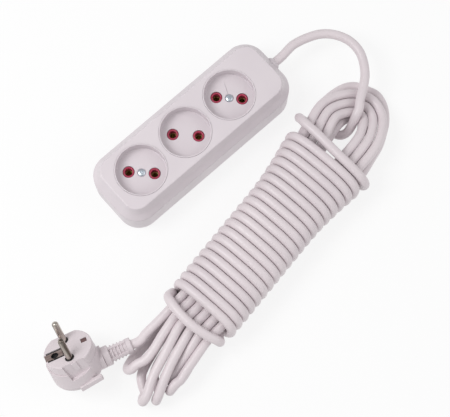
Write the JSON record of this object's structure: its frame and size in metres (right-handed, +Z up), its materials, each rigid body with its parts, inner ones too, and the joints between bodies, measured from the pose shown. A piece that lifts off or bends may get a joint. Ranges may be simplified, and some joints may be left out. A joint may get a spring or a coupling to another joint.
{
  "type": "extension cord",
  "caption": "Extension cord: a long socket block with round recessed outlets, a long white cord wound into a hank, and an angled round plug.",
  "frame": {"origin": "middle of the underside of the socket block with its grommet, the cord and plug left out", "axes": "+X along the block towards its cord end, +Z up out of the sockets, +Y across the block away from the hank"},
  "size_m": [0.3344, 0.1629, 0.0525],
  "materials": {
    "shell_white": "satin moulded plastic",
    "cord_white": "smooth flexible sheath",
    "carrier_red": "satin",
    "brass": "rolled strip",
    "zinc": "bright zinc plate",
    "nickel": "nickel plate",
    "wire_brown": "insulation",
    "wire_blue": "insulation"
  },
  "bodies": {
    "root": {"base": "shell_white", "busbar_1": "brass", "busbar_2": "brass", "clamp_screw_1": "zinc", "clamp_screw_2": "zinc", "contact_carrier_1": "carrier_red", "contact_carrier_2": "carrier_red", "contact_carrier_3": "carrier_red", "cord_clamp": "shell_white", "cord_grommet": "shell_white", "cord_lead": "cord_white", "cord_loops": "cord_white", "cord_tail": "cord_white", "cord_winding": "cord_white", "cover_screw_1": "zinc", "cover_screw_2": "zinc", "earth_clip_1": "nickel", "earth_clip_2": "nickel", "plug_body": "shell_white", "plug_insert": "shell_white", "plug_pin_1": "nickel", "plug_pin_2": "nickel", "plug_strain_relief": "shell_white", "socket_cup_1": "shell_white", "socket_cup_2": "shell_white", "socket_cup_3": "shell_white", "terminal_screw_1": "zinc", "terminal_screw_2": "zinc", "top_cover": "shell_white", "wire_blue": "wire_blue", "wire_brown": "wire_brown"}
  },
  "joints": []
}
